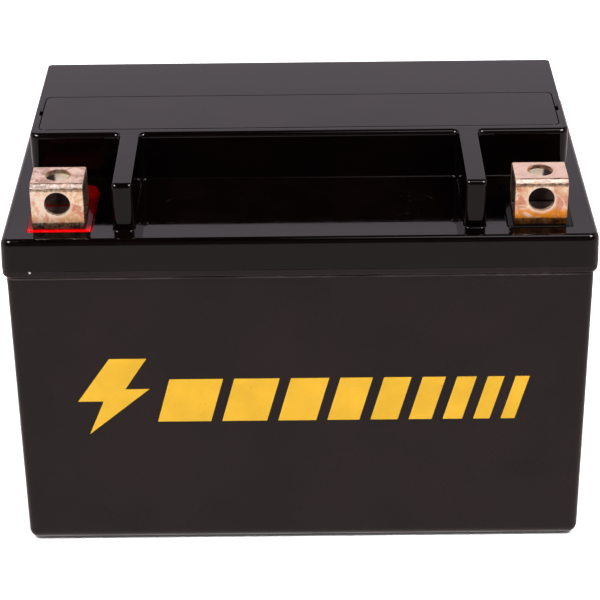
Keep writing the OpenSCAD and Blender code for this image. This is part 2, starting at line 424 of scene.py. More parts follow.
def lid_plastic():
    """Black polypropylene off a polished mould: mirror gloss, faint ripple, dust and fine scratches."""
    p = Paint("lid_plastic", Specular_IOR_Level=0.23, Specular_Tint=(1.0, 0.95, 0.98, 1.0))
    mottle = p.ramp(p.noise(60, 5), 0.35, 0.7)
    dust = p.ramp(p.noise(1900, 3), 0.70, 0.80)
    base = p.mix(mottle, (0.0005, 0.0002, 0.0002), (0.0011, 0.0004, 0.0004))
    base = p.mix(dust, base, (0.003, 0.002, 0.002))
    x, y, z = p.axes()
    across = p.math("ABSOLUTE", x, 0.0)
    along_floor = p.product(p.from_mm(y, (-33.0, -30.0)), p.below_mm(y, (-18.0, -13.0)))
    by_marks = p.product(p.from_mm(across, (22.0, 27.0)), p.below_mm(across, (35.0, 38.0)))
    on_floor = p.below_mm(z, (LEDGE_Z + 0.3, LEDGE_Z + 0.5))
    scuffs = p.product(p.ramp(p.noise(1100, 4, 0.7), 0.66, 0.72), p.ramp(p.noise(70, 2), 0.5, 0.62))
    p.colour(p.mix(p.product(along_floor, by_marks, on_floor, scuffs), base, (0.045, 0.045, 0.046)))
    p.roughness(p.ramp(p.noise(90, 4), 0.3, 0.75, 0.025, 0.065))
    scratches = p.ramp(p.noise(30, 2, vector=p.stretched((12, 220, 40)), distortion=0.6), 0.66, 0.72)
    p.bump((p.noise(22, 1), 0.05, 1.0), (scratches, 0.03, 0.02))
    return p.material


def case_plastic():
    """Black polypropylene with a satin skin: cloudy mottling, fine grain, lighter worn edges and a painted
    highlight band under the lip.
    """
    p = Paint("case_plastic", Specular_IOR_Level=0.25)
    mottle = p.ramp(p.noise(34, 6, 0.6), 0.32, 0.72)
    specks = p.ramp(p.noise(1400, 2), 0.70, 0.80)
    base = p.mix(mottle, (0.0024, 0.0006, 0.0006), (0.0052, 0.0016, 0.0015))
    base = p.mix(specks, p.mix(p.edges(), base, (0.012, 0.008, 0.008)), (0.009, 0.006, 0.006))
    shoulder = SEAM_Z - FLANGE_H - 0.36
    z = p.axes()[2]
    under_lip = p.product(p.from_mm(z, (shoulder - 0.4, shoulder - 0.1)),
                          p.below_mm(z, (shoulder + 0.2, shoulder + 0.4)))
    # Painted highlight: a light grey-brown band just under the lip stands in for the light caught where the
    # lip rounds into the wall.
    lip_highlight = p.product(under_lip, p.ramp(p.noise(40, 3), 0.35, 0.6, 0.35, 1.0))
    base = p.mix(lip_highlight, base, (0.095, 0.072, 0.066))
    nib = p.distance_to(tuple(v * MM for v in MOULD_NIB))
    nib = p.below_mm(p.math("ADD", nib, p.ragged(1300, 0.0012, 3)), MOULD_NIB_R)
    p.colour(p.mix(nib, base, (0.30, 0.26, 0.26)))
    p.roughness(p.ramp(p.noise(46, 5), 0.3, 0.75, 0.22, 0.36))
    p.bump((p.noise(1500, 2), 0.10, 0.03), (p.noise(16, 1), 0.15, 1.0))
    return p.material


def cover_plastic():
    """The cover strip's plastic: as the lid, with a slightly duller skin."""
    p = Paint("cover_plastic", Specular_IOR_Level=0.22, Specular_Tint=(1.0, 0.95, 0.98, 1.0))
    mottle = p.ramp(p.noise(70, 5), 0.35, 0.7)
    p.colour(p.mix(mottle, (0.0012, 0.0007, 0.0006), (0.0026, 0.0016, 0.0014)))
    p.roughness(p.ramp(p.noise(120, 4), 0.3, 0.75, 0.08, 0.15))
    p.bump((p.noise(1800, 2), 0.05, 0.02), (p.noise(20, 1), 0.07, 1.0))
    return p.material


def copper():
    """Rolled copper strip: pale metal, salmon and orange tarnish, scraped folds, a paler pink top face as
    painted reflection, and painted shade: dark lines at the top fold and a dark band at the foot.
    """
    p = Paint("terminal_copper", Metallic=1.0)
    x, y, z = p.axes()
    ragged = p.ragged(900, 0.0011)
    z_rough = p.math("ADD", z, ragged)
    top_z, fold_y = TERMINAL_HIGH.z, TERMINAL_LOW.y + FOLD_R
    negative_side = p.from_mm(x, (-10.0, 10.0))

    cloud = p.ramp(p.noise(330, 6, 0.62, distortion=1.0), 0.40, 0.60)
    salmon = p.ramp(p.noise(210, 5, 0.6, distortion=1.4), 0.50, 0.62)
    spots = p.ramp(p.noise(470, 6, 0.75, distortion=1.2), 0.55, 0.68)
    base = p.mix(cloud, (0.82, 0.52, 0.31), (0.98, 0.80, 0.62))
    base = p.mix(p.product(salmon, 0.8), base, (0.66, 0.25, 0.16))
    base = p.mix(p.product(spots, 0.6), base, (0.42, 0.19, 0.09))

    orange = p.ramp(p.noise(150, 5, 0.65, distortion=1.5), 0.30, 0.50)
    low_part = p.math("ADD", p.from_mm(z_rough, ORANGE_Z, 0.25, 0.0),
                      p.product(negative_side, p.from_mm(z_rough, NEGATIVE_ORANGE_Z, 0.85, 0.0)))
    base = p.mix(p.product(orange, low_part), base, (0.88, 0.31, 0.03))

    flecks = p.ramp(p.noise(760, 6, 0.7), 0.60, 0.70)
    rubbed = p.product(p.from_mm(x, RUBBED_X, 0.8, 0.0), p.ramp(p.noise(300, 5, 0.65), 0.42, 0.54))
    both_sides = p.tree.nodes.new("ShaderNodeCombineXYZ")
    p.link(p.math("ABSOLUTE", x, 0.0), both_sides.inputs["X"])
    p.link(z, both_sides.inputs["Z"])
    from_hole = p.distance_to((TERMINAL_X * MM, 0.0, FRONT_HOLE_Z * MM), both_sides.outputs["Vector"])
    ring = p.from_mm(p.math("ADD", from_hole, ragged), (HOLE_R + 0.3, HOLE_R + 1.0), 0.55, 0.0)
    bright = p.math("MAXIMUM", p.product(flecks, 0.85), p.math("MAXIMUM", rubbed, ring))
    base = p.mix(bright, base, (1.0, 0.88, 0.74))

    top_face = p.from_mm(z, (top_z - 0.12, top_z - 0.02))
    mottle = p.ramp(p.noise(420, 6, 0.7, distortion=0.6), 0.42, 0.60)
    tarnish = p.product(mottle, p.ramp(negative_side, 0.0, 1.0, 0.75, 0.22))
    # Painted reflection: the top face is painted a paler pink, standing in for the tinted light from above
    # that it reflects.
    base = p.mix(top_face, base, (0.95, 0.70, 0.55))
    base = p.mix(p.product(top_face, tarnish), base, (0.36, 0.18, 0.12))

    stains = p.ramp(p.noise(560, 6, 0.72, distortion=0.8), 0.56, 0.66)
    outer = p.product(p.from_mm(x, (62.8, 65.0)), p.from_mm(z, (97.5, 99.0)))
    inner = p.product(p.from_mm(x, (57.2, 56.0)), p.from_mm(z, (99.5, 101.0)))
    patch = p.product(negative_side, p.math("MAXIMUM", outer, inner), p.below_mm(z, (103.0, 103.4)))
    base = p.mix(p.product(patch, stains), base, (0.30, 0.10, 0.05))

    fold = p.below_mm(y, (fold_y, fold_y + 0.2))
    scraped = p.product(fold, p.band_mm(z_rough, top_z - 0.88, top_z - 0.14, 0.12))
    scores = p.ramp(p.noise(160, 5, 0.75, vector=p.stretched((9, 2, 2))), 0.36, 0.64)
    worn = p.mix(negative_side, p.mix(scores, (0.19, 0.14, 0.125), (0.37, 0.30, 0.275)),
                 p.mix(scores, (0.30, 0.235, 0.20), (0.40, 0.34, 0.30)))
    base = p.mix(scraped, base, worn)

    # Painted shade: dark lines along the top fold, on the top face at its front edge and just under the
    # fold's rounded corner, mottled by noise, stand in for the dark surroundings reflected there.
    seam = p.math("MAXIMUM", p.band_mm(z_rough, top_z - 1.75, top_z - 1.0, 0.15),
                  p.band_mm(z, top_z - 0.14, top_z - 0.04, 0.02))
    shade_mottle = p.ramp(p.noise(1300, 4, 0.7), 0.30, 0.62, 0.95, 0.45)
    base = p.mix(p.product(fold, seam, shade_mottle), base, (0.10, 0.045, 0.03))
    # Painted shade: a dark band low on the front leg, mottled by noise, stands in for the dark ledge
    # reflected in the bottom bend.
    foot = p.product(p.below_mm(z_rough, FOOT_SHADE_Z), p.ramp(shade_mottle, 0.45, 0.95, 0.72, 1.0))
    p.colour(p.mix(foot, base, (0.05, 0.026, 0.018)))

    p.roughness(p.math("ADD", p.ramp(p.noise(420, 5), 0.3, 0.7, 0.24, 0.46), p.product(scraped, 0.32)))
    lines = p.noise(60, 3, vector=p.stretched((40, 3, 3)))
    dents = p.ramp(p.cells(520), 0.0, 0.35)
    p.bump((lines, 0.18, 0.05), (p.noise(800, 4), 0.28, 0.05), (dents, 0.15, 0.05))
    return p.material


def copper_inside():
    """The fold's inner faces: dark brown-black low down, with a painted pool of light under the top hole that
    gives way to painted shade on its outer side.
    """
    p = Paint("terminal_copper_inside", Metallic=0.35)
    x, _, z = p.axes()
    ragged = p.ragged(700, 0.0016)
    high = p.from_mm(p.math("ADD", z, ragged), LIT_INSIDE_Z)
    across = p.math("ADD", p.math("ABSOLUTE", x, 0.0), ragged)
    # Painted light: a cream patch where light falls in through the top hole, fading to painted shade on the
    # terminal's outer side and at its inner edge.
    lit = p.product(high, p.from_mm(across, (TERMINAL_X + 0.8, TERMINAL_X + 1.8), 1.0, 0.04),
                    p.from_mm(across, (TERMINAL_X - 4.4, TERMINAL_X - 3.4)))
    dark_inside = p.mix(p.ramp(p.noise(500, 5), 0.35, 0.65), (0.012, 0.006, 0.005), (0.035, 0.016, 0.012))
    p.colour(p.mix(lit, dark_inside, (1.0, 0.86, 0.70)))
    p.roughness(p.ramp(p.noise(500, 4), 0.3, 0.7, 0.45, 0.65))
    p.bump((p.noise(900, 4), 0.3, 0.05))
    return p.material


def resin(name, shaded_colour, bright, gloss):
    """Cast epoxy: smooth, with cloudy tone and fine bubbles; painted light on its front edge and painted
    shade towards the rear.
    """
    p = Paint(name, Specular_IOR_Level=gloss)
    cloud = p.ramp(p.noise(180, 4), 0.35, 0.7)
    bubbles = p.ramp(p.cells(900), 0.04, 0.10)
    # Painted shade: the resin darkens towards the rear, where the terminal and the lid's block shade it; its
    # lit front edge is painted brightest.
    depth = p.from_mm(p.axes()[1], (SEAL_LOW.y + 0.4, SEAL_LOW.y + 4.0))
    shade = p.mix(cloud, shaded_colour, tuple(0.6 * c for c in shaded_colour))
    p.colour(p.mix(depth, bright, p.mix(bubbles, shaded_colour, shade)))
    p.roughness(p.ramp(p.noise(300, 3), 0.3, 0.7, 0.05, 0.14))
    p.bump((p.noise(140, 2), 0.25, 0.3), (p.noise(900, 2), 0.05, 0.03))
    return p.material


def rubber():
    """Black moulded rubber with a fine dull grain and a bloom of grey."""
    p = Paint("cap_rubber", Specular_IOR_Level=0.35)
    bloom = p.ramp(p.noise(220, 5), 0.45, 0.75)
    p.colour(p.mix(bloom, (0.010, 0.010, 0.010), (0.034, 0.033, 0.032)))
    p.roughness(p.ramp(p.noise(400, 3), 0.3, 0.7, 0.55, 0.78))
    p.bump((p.noise(2600, 2), 0.25, 0.03))
    return p.material


def print_ink():
    """Yellow screen print: slightly uneven ink that is thin in tiny specks."""
    p = Paint("print_ink", Specular_IOR_Level=0.22)
    thin = p.ramp(p.noise(1500, 4), 0.62, 0.76)
    wash = p.ramp(p.noise(120, 4), 0.3, 0.7)
    p.colour(p.mix(thin, p.mix(wash, (0.37, 0.205, 0.004), (0.43, 0.235, 0.006)), (0.27, 0.14, 0.005)))
    p.roughness(p.ramp(p.noise(300, 3), 0.3, 0.7, 0.42, 0.6))
    p.bump((p.noise(1700, 3), 0.15, 0.02))
    return p.material


def grainy(name, dark, light, scale, metallic=0.0, rough=(0.5, 0.75), grain=0.1):
    """A dull material with cloudy colour and grain, for lead, plate paste and glass mat."""
    p = Paint(name, Metallic=metallic)
    p.colour(p.mix(p.ramp(p.noise(scale, 6, 0.65), 0.3, 0.7), dark, light))
    p.roughness(p.ramp(p.noise(scale * 2, 4), 0.3, 0.7, *rough))
    p.bump((p.noise(scale * 6, 5), 0.4, grain))
    return p.material


LID_PLASTIC = lid_plastic()
CASE_PLASTIC = case_plastic()
COVER_PLASTIC = cover_plastic()
COPPER = copper()
COPPER_INSIDE = copper_inside()
RED_RESIN = resin("red_resin", (0.060, 0.0003, 0.0004), (0.29, 0.0004, 0.0006), 0.13)
BLACK_RESIN = resin("black_resin", (0.0008, 0.0008, 0.0008), (0.0015, 0.0012, 0.0012), 0.07)
RUBBER = rubber()
INK = print_ink()
LEAD = grainy("cast_lead", (0.16, 0.165, 0.18), (0.34, 0.35, 0.37), 300, 0.85, (0.38, 0.6))
POSITIVE_PASTE = grainy("positive_paste", (0.045, 0.020, 0.012), (0.11, 0.050, 0.030), 700)
NEGATIVE_PASTE = grainy("negative_paste", (0.13, 0.135, 0.14), (0.28, 0.29, 0.30), 700, 0.3)
GLASS_MAT = grainy("glass_mat", (0.66, 0.65, 0.61), (0.86, 0.85, 0.82), 1200, 0.0, (0.8, 0.95))


# ---------------------------------------------------------------- case


def make_case():
    """The case: rounded base, walls, the flange that curves out to the seam, and six cell pockets."""
    shell = Shell()
    wall_in = -FLANGE_STEP
    corners = rectangle(-HALF_L, HALF_L, -HALF_D, HALF_D, CORNER_R)
    foot = [(wall_in - KEEL_R * (1 - math.sin(a)), KEEL_R * (1 - math.cos(a)))
            for a in (k / 8 * math.pi / 2 for k in range(9))]
    low = SEAM_Z - FLANGE_H
    lip = [(wall_in, low - 0.80), (wall_in - 0.01, low - 0.62), (wall_in - 0.06, low - 0.44),
           (wall_in - 0.17, low - 0.30), (wall_in - 0.34, low - 0.24), (wall_in - 0.34, low)]
    for k in range(7):
        a = k / 6 * math.pi / 2
        lip.append((-1.0 + 0.92 * math.sin(a), low + 0.05 + 0.95 * (1 - math.cos(a))))
    lip += [(-0.06, SEAM_Z - 0.25), (-0.10, SEAM_Z - 0.08), (-0.22, SEAM_Z)]
    bottom, rim = shell.rise(corners, foot + lip, steps=10)
    shell.flat(bottom)
    pockets = []
    for n in CELLS:
        pocket = rectangle(cell_x(n) - CELL_W / 2, cell_x(n) + CELL_W / 2, -POCKET_Y, POCKET_Y, 0.6)
        mouth, floor = shell.rise(pocket, [(0.2, SEAM_Z), (0.0, SEAM_Z - 0.3), (0.0, BASE_T)], steps=3)
        shell.flat(floor)
        pockets.append(mouth)
    shell.flat(rim, *pockets)
    return place(shell.to_object("case_shell"), "battery", CASE_PLASTIC, "case_plastic", "container")


# ---------------------------------------------------------------- lid


def block_corners():
    """Outline of the raised block with its two ribs, counter-clockwise from the left front corner."""
    out, rear, inner, tip = 2.4, 1.7, 1.4, 1.2
    left, right = -RIB_X, RIB_X
    return [
        (-BLOCK_X, BLOCK_FRONT, out),
        (left - RIB_HALF, BLOCK_FRONT, inner),
        (left - RIB_HALF, RIB_FRONT, tip),
        (left + RIB_HALF, RIB_FRONT, tip),
        (left + RIB_HALF, BLOCK_FRONT, inner),
        (right - RIB_HALF, BLOCK_FRONT, inner),
        (right - RIB_HALF, RIB_FRONT, tip),
        (right + RIB_HALF, RIB_FRONT, tip),
        (right + RIB_HALF, BLOCK_FRONT, inner),
        (BLOCK_X, BLOCK_FRONT, out),
        (BLOCK_X, BLOCK_REAR, rear),
        (-BLOCK_X, BLOCK_REAR, rear),
    ]


def recess_corners():
    """Outline of the vent cover's recess, with a pry notch at each end."""
    x, low, high = COVER_X + COVER_GAP_X, COVER_LOW.y - COVER_GAP_FRONT, COVER_HIGH.y + COVER_GAP_REAR
    mid, end = (COVER_LOW.y + COVER_HIGH.y) / 2, x + NOTCH_L
    notch = [(-NOTCH_HALF, 0.15, x), (-NOTCH_HALF, 0.2, end), (NOTCH_HALF, 0.2, end), (NOTCH_HALF, 0.15, x)]
    right = [(nx, mid + dy, r) for dy, r, nx in notch]
    left = [(-nx, mid - dy, r) for dy, r, nx in notch]
    return [(-x, low, COVER_R), (x, low, COVER_R), *right, (x, high, COVER_R), (-x, high, COVER_R), *left]


def seal_corners(side):
    """Outline of the resin seal on one side, -1 or 1."""
    mid = side * TERMINAL_X
    half = (SEAL_HIGH.x - SEAL_LOW.x) / 2
    return [(mid - half, SEAL_LOW.y, 0.9), (mid + half, SEAL_LOW.y, 0.9),
            (mid + half, SEAL_HIGH.y, 3.2), (mid - half, SEAL_HIGH.y, 3.2)]


def make_lid():
    """The lid as one closed shell: skirt, ledge, block with ribs, cover recess, necks and seal wells."""
    shell = Shell()
    skirt = rectangle(-HALF_L, HALF_L, -HALF_D, HALF_D, CORNER_R)
    profile = [(-0.22, SEAM_Z), (-0.08, SEAM_Z + 0.1), (-0.01, SEAM_Z + 0.35), (0.0, SEAM_Z + 0.8)]
    for (side, front), z in round_over(*LEDGE_ROUND, LEDGE_Z):
        profile.append(((side - SKIRT_DRAFT[0], front - SKIRT_DRAFT[1]), z))
    underside, ledge_edge = shell.rise(skirt, profile, steps=10)

    block = arc_profile(0.35, LEDGE_Z, top=False) + round_over(*TOP_ROUND, HEIGHT)
    block_foot, block_top = shell.rise(block_corners(), block)

    wells, ceilings = [], []
    for side in (-1, 1):
        well = [(0.14, LEDGE_Z), (0.05, LEDGE_Z - 0.15), (0.05, SEAL_LOW.z)]
        mouth, floor = shell.rise(seal_corners(side), well)
        post_hole = [(POST_R + 0.1, SEAL_LOW.z), (POST_R + 0.1, LEDGE_Z - LID_T)]
        hole, ceiling = shell.tube(side * TERMINAL_X, POST_Y, post_hole)
        shell.flat(floor, hole)
        wells.append(mouth)
        ceilings.append(ceiling)
    marks = []
    for x, y in EJECTOR_MARKS:
        brim, dish = shell.tube(x, y, [(EJECTOR_R, LEDGE_Z), (EJECTOR_R - 0.05, LEDGE_Z - 0.07)])
        shell.flat(dish)
        marks.append(brim)
    shell.flat(ledge_edge, block_foot, *wells, *marks)
    shell.bm.normal_update()

    recess = [(0.12, HEIGHT), (0.03, HEIGHT - 0.04), (0.0, HEIGHT - 0.12), (0.0, COVER_SEAT)]
    recess_top, seat = shell.rise(recess_corners(), recess, steps=4)
    shell.flat(block_top, recess_top)
    trough = rectangle(-COVER_X + TROUGH_MARGIN, COVER_X - TROUGH_MARGIN,
                       COVER_LOW.y + TROUGH_MARGIN, COVER_HIGH.y - TROUGH_MARGIN, 2.2)
    trough_wall = [(0.2, COVER_SEAT), (0.0, COVER_SEAT - 0.2), (0.0, TROUGH_Z + 0.8),
                   (-0.25, TROUGH_Z + 0.25), (-0.8, TROUGH_Z)]
    trough_mouth, trough_floor = shell.rise(trough, trough_wall)
    shell.flat(seat, trough_mouth)

    neck_feet, bores = [], []
    mid = (COVER_LOW.y + COVER_HIGH.y) / 2
    ceiling_z = LEDGE_Z - LID_T
    for n in CELLS:
        neck = [(NECK_R + 0.5, TROUGH_Z), (NECK_R + 0.15, TROUGH_Z + 0.15), (NECK_R, TROUGH_Z + 0.5),
                (NECK_R, NECK_Z - 0.4), (NECK_R - 0.12, NECK_Z - 0.12), (NECK_R - 0.4, NECK_Z),
                (NECK_BORE_R + 0.3, NECK_Z), (NECK_BORE_R, NECK_Z - 0.3), (NECK_BORE_R, ceiling_z)]
        foot, bore = shell.tube(cell_x(n), mid, neck)
        neck_feet.append(foot)
        bores.append(bore)
    shell.flat(trough_floor, *neck_feet)

    pockets = []
    for n in CELLS:
        pocket = rectangle(cell_x(n) - CELL_W / 2, cell_x(n) + CELL_W / 2, -POCKET_Y, POCKET_Y, 0.6)
        mouth, ceiling = shell.rise(pocket, [(0.2, SEAM_Z), (0.0, SEAM_Z + 0.3), (0.0, ceiling_z)], steps=3)
        posts = {1: ceilings[:1], 6: ceilings[1:]}
        shell.flat(ceiling, bores[n - 1], *posts.get(n, []))
        pockets.append(mouth)
    shell.flat(underside, *pockets)
    curl_ledge(shell)
    return place(shell.to_object("lid_shell"), "battery", LID_PLASTIC, "lid_plastic", "lid")


def curl_ledge(shell):
    """Cuts the ledge into strips and lets its front rise slightly, as the moulded surface does."""
    front = -HALF_D + 1.3
    for k in range(CURL_STRIPS):
        cut = Vector((0, CURL_START + (front - CURL_START) * k / (CURL_STRIPS - 1), 0)) * MM
        faces = [f for f in shell.bm.faces
                 if abs(f.normal.z) > 0.99 and abs(f.verts[0].co.z - LEDGE_Z * MM) < 1e-6]
        edges = {e for f in faces for e in f.edges}
        verts = {v for f in faces for v in f.verts}
        geometry = [*verts, *edges, *faces]
        bmesh.ops.bisect_plane(shell.bm, geom=geometry, dist=4e-6, plane_co=cut, plane_no=(0, 1, 0))
        shell.bm.normal_update()
    for vert in shell.bm.verts:
        y, z = vert.co.y / MM, vert.co.z / MM
        if y < CURL_START and LEDGE_Z - 1.3 < z < LEDGE_Z + 0.6:
            weight = min(1.0, (z - LEDGE_Z + 1.3) / 1.3)
            reach = min(1.0, (CURL_START - y) / (CURL_START - front))
            vert.co.z += CURL_RISE * reach ** 2 * weight * MM


# ---------------------------------------------------------------- vent cover and valves


def make_cover():
    """The flush cover strip, with eased edges and two ribs underneath."""
    shell = Shell()
    strip = rectangle(-COVER_X, COVER_X, COVER_LOW.y, COVER_HIGH.y, COVER_R)
    profile = [(-0.3, COVER_SEAT), (-0.1, COVER_SEAT + 0.08), (0.0, COVER_SEAT + 0.3)]
    under, top = shell.rise(strip, profile + arc_profile(0.2, HEIGHT))
    shell.flat(top)
    rib_y, rib_half, rib_x, rib_h = 3.0, 0.6, 60.0, 1.0
    mid = (COVER_LOW.y + COVER_HIGH.y) / 2
    feet = []
    for side in (-1, 1):
        rib = rectangle(-rib_x, rib_x, mid + side * rib_y - rib_half, mid + side * rib_y + rib_half, 0.4)
        rib_wall = [(0.15, COVER_SEAT), (0.0, COVER_SEAT - 0.15), (0.0, COVER_SEAT - rib_h + 0.2),
                    (-0.2, COVER_SEAT - rib_h)]
        foot, tip = shell.rise(rib, rib_wall, steps=3)
        shell.flat(tip)
        feet.append(foot)
    shell.flat(under, *feet)
    piece = shell.to_object("vent_cover")
    return place(piece, "vent_cover", COVER_PLASTIC, "cover_plastic", "vent_cover_strip")


def make_valve(n):
    """A rubber valve cap: dished top with a raised rim, a bead round its skirt and a hollow for the neck."""
    shell = Shell()
    low, high = cad_box(f"valve_cap_{n}")
    x, y = (low.x + high.x) / 2, (low.y + high.y) / 2
    r, inner = (high.x - low.x) / 2, NECK_R + 0.08
    z0, z1 = low.z, high.z
    profile = [
        (0.9, z1 - 0.55), (r - 2.2, z1 - 0.5), (r - 1.7, z1 - 0.1), (r - 1.4, z1), (r - 0.5, z1),
        (r - 0.15, z1 - 0.15), (r - 0.05, z1 - 0.5), (r - 0.3, z1 - 1.2), (r - 0.35, z0 + 1.5),
        (r - 0.05, z0 + 1.0), (r, z0 + 0.7), (r - 0.05, z0 + 0.3), (r - 0.25, z0 + 0.05), (r - 0.5, z0),
        (inner + 0.35, z0), (inner + 0.08, z0 + 0.1), (inner, z0 + 0.4), (inner, NECK_Z),
    ]
    top, roof = shell.tube(x, y, profile)
    shell.flat(top)
    shell.flat(roof)
    piece = shell.to_object(f"valve_rubber_{n}", 45)
    return place(piece, f"valve_{n}", RUBBER, "cap_rubber", f"valve_cap_{n}")


# ---------------------------------------------------------------- terminals


def fold_stations():
    """The strip's outer line from the foot's end to the rear leg's end, as (y, z, normal angle).

    Also gives the stations that start the front leg's and the top's flat stretch.
    """
    y0, y1 = TERMINAL_LOW.y, TERMINAL_HIGH.y
    z0, z1 = TERMINAL_LOW.z, TERMINAL_HIGH.z
    steps = 8
    stations = [(y1 - STRIP_T - 0.8, z0, -90.0), (y0 + FOLD_R + 3, z0, -90.0)]
    flats = {}

    def bend(r, cy, cz, start, end):
        """Adds stations round a bend between two angles in degrees."""
        for k in range(steps + 1):
            a = start + (end - start) * k / steps
            stations.append((cy + r * math.cos(math.radians(a)), cz + r * math.sin(math.radians(a)), a))

    bend(FOOT_R, y0 + FOOT_R, z0 + FOOT_R - FOOT_SINK, -90.0, -180.0)
    flats["front"] = len(stations) - 1
    bend(FOLD_R, y0 + FOLD_R, z1 - FOLD_R, -180.0, -270.0)
    flats["top"] = len(stations) - 1
    bend(FOLD_R, y1 - FOLD_R, z1 - FOLD_R, -270.0, -360.0)
    stations.append((y1, z0 + 2.0, -360.0))
    stations.append((y1, z0 - 0.4, -360.0))
    return stations, flats


def strip_section():
    """The strip's cross-section as (across, depth below the outer face) pairs, with eased edges."""
    half, ease = TERMINAL_HALF, 0.22
    section = []
    for sx, sd, start in ((1, 0, 90), (-1, 0, 180), (-1, 1, 270), (1, 1, 0)):
        cx = sx * (half - ease)
        cd = ease if sd == 0 else STRIP_T - ease
        for k in range(4):
            a = math.radians(start - 90 + 30 * k)
            section.append((cx + ease * math.cos(a), cd - ease * math.sin(a)))
    return section


def make_terminal(kind, side, seed):
    """Copper strip folded into an open box, with eased edges and screw holes with a ragged rim."""
    rng = random.Random(seed)
    shell = Shell()
    bm = shell.bm
    mid = side * TERMINAL_X
    stations, flats = fold_stations()
    section = strip_section()

    def at(station, across, depth):
        """A point across the strip, below its outer face."""
        y, z, angle = station
        a = math.radians(angle)
        return Vector((mid + across, y - depth * math.cos(a), z - depth * math.sin(a)))

    rings = [[bm.verts.new(at(s, u, d) * MM) for u, d in section] for s in stations]
    outer_edge, inner_edge = 3, 11
    flat_pairs = {flats["front"]: (FRONT_HOLE_Z, "front"), flats["top"]: (TOP_HOLE_Y, "top")}
    for i, (a, b) in enumerate(zip(rings, rings[1:])):
        for k in range(len(section)):
            if i in flat_pairs and k in (outer_edge, inner_edge):
                continue
            j = (k + 1) % len(section)
            bm.faces.new((a[k], a[j], b[j], b[k]))
        if i in flat_pairs:
            punch_hole(shell, rng, mid, a, b, (outer_edge, inner_edge), *flat_pairs[i])
    for ring in (rings[0], rings[-1]):
        shell.flat(ring)
    y0, y1, z1 = TERMINAL_LOW.y, TERMINAL_HIGH.y, TERMINAL_HIGH.z
    piece = shell.to_object(f"{kind}_terminal_strip", 40)
    place(piece, "battery", COPPER, "terminal_copper", f"{kind}_terminal")
    piece.data.materials.append(COPPER_INSIDE)
    for face in piece.data.polygons:
        at_y, at_z = face.center.y / MM, face.center.z / MM
        if y0 + STRIP_T - 0.3 < at_y < y1 - STRIP_T + 0.3 and at_z < z1 - STRIP_T + 0.3:
            face.material_index = 1
    return piece


def punch_hole(shell, rng, mid, a, b, section_edges, centre, face):
    """The screw hole through a flat stretch of the strip, between rings a and b.

    section_edges are the places of the outer and the inner face in a ring.
    """
    steps = 48
    y0, z1 = TERMINAL_LOW.y, TERMINAL_HIGH.z
    ragged = [rng.uniform(-1, 1) for _ in range(steps)]

    def point(r, depth, k):
        """A point of the hole at a radius, a depth below the outer face and step k."""
        angle = 2 * math.pi * k / steps
        across, along = r * math.cos(angle), r * math.sin(angle)
        if face == "front":
            return Vector((mid + across, y0 + depth, centre + along))
        return Vector((mid + across, centre + along, z1 - depth))

    def rim(r, depth, lip=0.0, rise=0.0):
        """A ring of the hole, with a ragged burr on one side: lip inward and rise outward."""
        verts = []
        for k in range(steps):
            height = math.sin(2 * math.pi * k / steps)
            rear = max(0.0, height) ** 0.6 if face == "top" else max(0.0, -height) ** 2 * 0.4
            tooth = rear * (0.55 + 0.45 * ragged[k // 3] * (1 - 0.6 * (k % 3 == 1)))
            verts.append(shell.bm.verts.new(point(r - lip * tooth, depth - rise * tooth, k) * MM))
        return verts

    loops = [rim(HOLE_R + 0.55, 0.0), rim(HOLE_R + 0.3, 0.02, 0.1, 0.24), rim(HOLE_R + 0.08, 0.10, 0.6, 0.30),
             rim(HOLE_R, 0.45, 0.25), rim(HOLE_R, STRIP_T - 0.3), rim(HOLE_R + 0.1, STRIP_T - 0.07),
             rim(HOLE_R + 0.32, STRIP_T)]
    for p, q in zip(loops, loops[1:]):
        shell.wall(p, q)
    for edge, loop in zip(section_edges, (loops[0], loops[-1])):
        j = (edge + 1) % len(a)
        shell.flat([a[edge], a[j], b[j], b[edge]], loop)


# ---------------------------------------------------------------- seals


def make_seal(kind, side, material, slot):
    """Cast resin round a terminal's foot: a pad that wets ledge and copper, with a ridge at the heel."""
    shell = Shell()
    corners = seal_corners(side)
    top = SEAL_HIGH.z
    pad = [(0.0, SEAL_LOW.z), (0.0, LEDGE_Z - 0.3), (0.0, LEDGE_Z - 0.1), (0.28, LEDGE_Z - 0.03),
           (0.28, LEDGE_Z + 0.16), (0.06, LEDGE_Z + 0.4), (-0.07, top - 0.2), (-0.14, top - 0.08),
           (-0.28, top)]
    low, edge = shell.rise(corners, pad)
    mid = side * TERMINAL_X
    foot = rectangle(mid - TERMINAL_HALF, mid + TERMINAL_HALF, TERMINAL_LOW.y, TERMINAL_HIGH.y, 0.7)
    meniscus = [(0.35, top), (0.1, top + 0.06), (0.02, top + 0.22), (-0.06, top + 0.22), (-0.5, top - 0.05)]
    wet, inside = shell.rise(foot, meniscus, steps=4)
    hole, bottom = shell.tube(mid, POST_Y, [(POST_R, top - 0.05), (POST_R, SEAL_LOW.z)])
    shell.flat(edge, wet)
    shell.flat(inside, hole)
    shell.flat(low, bottom)
    heel = TERMINAL_HIGH.y - STRIP_T
    strip_z = TERMINAL_LOW.z + STRIP_T
    ridge = rectangle(mid - TERMINAL_HALF + 0.4, mid + TERMINAL_HALF - 0.4, heel - 0.95, heel + 0.1, 0.2)
    ridge_wall = [(0.0, top - 0.3), (0.0, strip_z - 0.05), (-0.12, strip_z + 0.1), (-0.3, strip_z + 0.14)]
    ridge_foot, crest = shell.rise(ridge, ridge_wall, steps=3)
    shell.flat(ridge_foot)
    shell.flat(crest)
    for vert in shell.bm.verts:
        if vert.co.z > (LEDGE_Z + 0.3) * MM:
            reach = (-34.0 - vert.co.y / MM) / 3.0
            vert.co.z -= FOOT_SINK * min(1.0, max(0.0, reach)) * MM
    return place(shell.to_object(f"{kind}_resin"), "battery", material, slot, f"{kind}_terminal_seal")


# ---------------------------------------------------------------- printed mark


